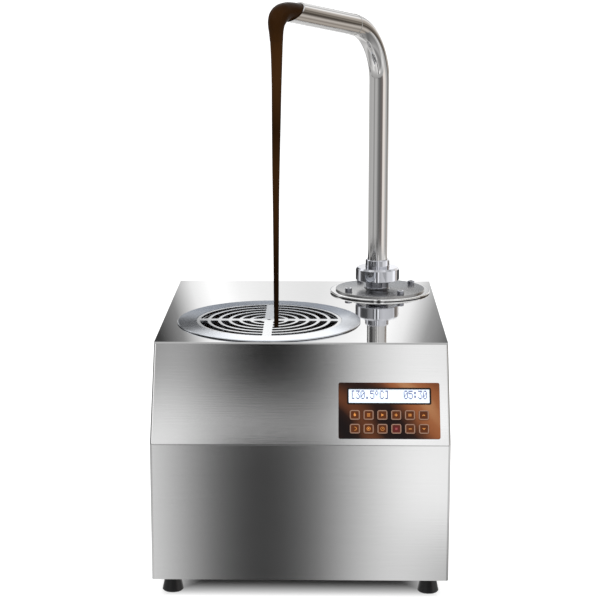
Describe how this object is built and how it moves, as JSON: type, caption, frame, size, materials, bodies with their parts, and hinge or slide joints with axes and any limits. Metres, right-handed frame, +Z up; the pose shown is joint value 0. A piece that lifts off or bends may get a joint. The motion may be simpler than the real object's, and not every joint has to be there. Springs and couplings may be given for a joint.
{
  "type": "chocolate dispenser",
  "caption": "Table-top chocolate dispenser: steel casing with sloped key panel, grille over a heated tank, auger pump and a swivelling bent spout that pours back over the grille.",
  "frame": {"origin": "on the table, under the middle of the casing", "axes": "+X to the operator's right, +Y to the back, +Z up"},
  "size_m": [0.32, 0.4, 0.631],
  "materials": {
    "casing_steel": "fine horizontal brush",
    "top_steel": "mirror polish",
    "rim_steel": "satin",
    "grille_steel": "satin",
    "polished_steel": "mirror polish",
    "fastener_steel": "bright",
    "foot_rubber": "matt",
    "gasket_rubber": "matt",
    "overlay_print": "printed film",
    "key_plastic": "printed cap",
    "display_face": "lit face",
    "module_plastic": "moulded",
    "board_laminate": "lacquered",
    "heater_silicone": "matt",
    "insulation_felt": "felt",
    "machined_steel": "machined",
    "bush_bronze": "machined",
    "gland_plastic": "machined",
    "gearbox_alloy": "die cast",
    "motor_paint": "powder coat",
    "supply_alloy": "plain",
    "inlet_plastic": "moulded",
    "rocker_plastic": "moulded",
    "lead_sheath": "matt"
  },
  "bodies": {
    "root": {"body_shell": "casing_steel", "top_plate": "top_steel", "rear_panel": "casing_steel", "base_pan": "casing_steel", "casing_screws": "fastener_steel", "foot_locknuts": "fastener_steel", "tank": "rim_steel", "tank_gasket": "gasket_rubber", "heater_mat": "heater_silicone", "tank_insulation": "insulation_felt", "temperature_probe": "machined_steel", "stirrer_gland": "gland_plastic", "stirrer_motor": "motor_paint", "transfer_pipe": "polished_steel", "pump_barrel": "polished_steel", "barrel_gasket": "gasket_rubber", "auger_bush": "bush_bronze", "pump_gearbox": "gearbox_alloy", "motor_bracket": "machined_steel", "pump_motor": "motor_paint", "cover_flange": "polished_steel", "cover_screws": "fastener_steel", "spout_gasket": "gasket_rubber", "panel_overlay": "overlay_print", "display_glass": "display_face", "display_module": "module_plastic", "control_board": "board_laminate", "power_inlet": "inlet_plastic", "power_supply": "supply_alloy", "wiring": "lead_sheath"},
    "spout": {"spout_riser": "polished_steel", "spout_arm": "polished_steel", "spout_ferrule": "polished_steel"},
    "union_nut": {"union_nut": "polished_steel"},
    "grille": {"grille": "grille_steel"},
    "auger": {"auger": "polished_steel", "shaft_coupling": "machined_steel", "gearbox_shaft": "machined_steel"},
    "stirrer": {"stirrer": "polished_steel"},
    "rocker": {"mains_rocker": "rocker_plastic"},
    "foot_front_left": {"foot_pad_front_left": "foot_rubber", "foot_stud_front_left": "fastener_steel"},
    "foot_front_right": {"foot_pad_front_right": "foot_rubber", "foot_stud_front_right": "fastener_steel"},
    "foot_rear_left": {"foot_pad_rear_left": "foot_rubber", "foot_stud_rear_left": "fastener_steel"},
    "foot_rear_right": {"foot_pad_rear_right": "foot_rubber", "foot_stud_rear_right": "fastener_steel"},
    "key_1": {"key_1": "key_plastic"},
    "key_2": {"key_2": "key_plastic"},
    "key_3": {"key_3": "key_plastic"},
    "key_4": {"key_4": "key_plastic"},
    "key_5": {"key_5": "key_plastic"},
    "key_6": {"key_6": "key_plastic"},
    "key_7": {"key_7": "key_plastic"},
    "key_8": {"key_8": "key_plastic"},
    "key_9": {"key_9": "key_plastic"},
    "key_10": {"key_10": "key_plastic"},
    "key_11": {"key_11": "key_plastic"},
    "key_12": {"key_12": "key_plastic"}
  },
  "joints": [
    {"name": "spout_swivel", "type": "hinge", "parent": "root", "child": "spout", "pos_m": [0.091, 0.134, 0.2978], "axis": [0, 0, 1], "range_deg": [-45, 45]},
    {"name": "union_nut_turn", "type": "hinge", "parent": "root", "child": "union_nut", "pos_m": [0.091, 0.134, 0.2868], "axis": [0, 0, 1], "range_deg": [0, 360]},
    {"name": "grille_lift", "type": "slide", "parent": "root", "child": "grille", "axis": [0, 0, 1], "range_m": [0, 0.12]},
    {"name": "auger_spin", "type": "hinge", "parent": "root", "child": "auger", "pos_m": [0.0944, 0.134, 0.122], "axis": [0, 0, 1], "continuous": true},
    {"name": "stirrer_spin", "type": "hinge", "parent": "root", "child": "stirrer", "pos_m": [-0.038, -0.0335, 0.1487], "axis": [0, 0, 1], "continuous": true},
    {"name": "rocker_tip", "type": "hinge", "parent": "root", "child": "rocker", "pos_m": [-0.108, 0.1948, 0.098], "axis": [1, 0, 0], "range_deg": [-19.2, 0]},
    {"name": "foot_front_left_screw", "type": "slide", "parent": "root", "child": "foot_front_left", "axis": [0, 0, -1], "range_m": [0, 0.008]},
    {"name": "foot_front_right_screw", "type": "slide", "parent": "root", "child": "foot_front_right", "axis": [0, 0, -1], "range_m": [0, 0.008]},
    {"name": "foot_rear_left_screw", "type": "slide", "parent": "root", "child": "foot_rear_left", "axis": [0, 0, -1], "range_m": [0, 0.008]},
    {"name": "foot_rear_right_screw", "type": "slide", "parent": "root", "child": "foot_rear_right", "axis": [0, 0, -1], "range_m": [0, 0.008]},
    {"name": "key_1_press", "type": "slide", "parent": "root", "child": "key_1", "axis": [0, 0.8386, -0.5447], "range_m": [0, 0.0005], "stiffness_N_per_m": 1500},
    {"name": "key_2_press", "type": "slide", "parent": "root", "child": "key_2", "axis": [0, 0.8386, -0.5447], "range_m": [0, 0.0005], "stiffness_N_per_m": 1500},
    {"name": "key_3_press", "type": "slide", "parent": "root", "child": "key_3", "axis": [0, 0.8386, -0.5447], "range_m": [0, 0.0005], "stiffness_N_per_m": 1500},
    {"name": "key_4_press", "type": "slide", "parent": "root", "child": "key_4", "axis": [0, 0.8386, -0.5447], "range_m": [0, 0.0005], "stiffness_N_per_m": 1500},
    {"name": "key_5_press", "type": "slide", "parent": "root", "child": "key_5", "axis": [0, 0.8386, -0.5447], "range_m": [0, 0.0005], "stiffness_N_per_m": 1500},
    {"name": "key_6_press", "type": "slide", "parent": "root", "child": "key_6", "axis": [0, 0.8386, -0.5447], "range_m": [0, 0.0005], "stiffness_N_per_m": 1500},
    {"name": "key_7_press", "type": "slide", "parent": "root", "child": "key_7", "axis": [0, 0.8386, -0.5447], "range_m": [0, 0.0005], "stiffness_N_per_m": 1500},
    {"name": "key_8_press", "type": "slide", "parent": "root", "child": "key_8", "axis": [0, 0.8386, -0.5447], "range_m": [0, 0.0005], "stiffness_N_per_m": 1500},
    {"name": "key_9_press", "type": "slide", "parent": "root", "child": "key_9", "axis": [0, 0.8386, -0.5447], "range_m": [0, 0.0005], "stiffness_N_per_m": 1500},
    {"name": "key_10_press", "type": "slide", "parent": "root", "child": "key_10", "axis": [0, 0.8386, -0.5447], "range_m": [0, 0.0005], "stiffness_N_per_m": 1500},
    {"name": "key_11_press", "type": "slide", "parent": "root", "child": "key_11", "axis": [0, 0.8386, -0.5447], "range_m": [0, 0.0005], "stiffness_N_per_m": 1500},
    {"name": "key_12_press", "type": "slide", "parent": "root", "child": "key_12", "axis": [0, 0.8386, -0.5447], "range_m": [0, 0.0005], "stiffness_N_per_m": 1500}
  ]
}
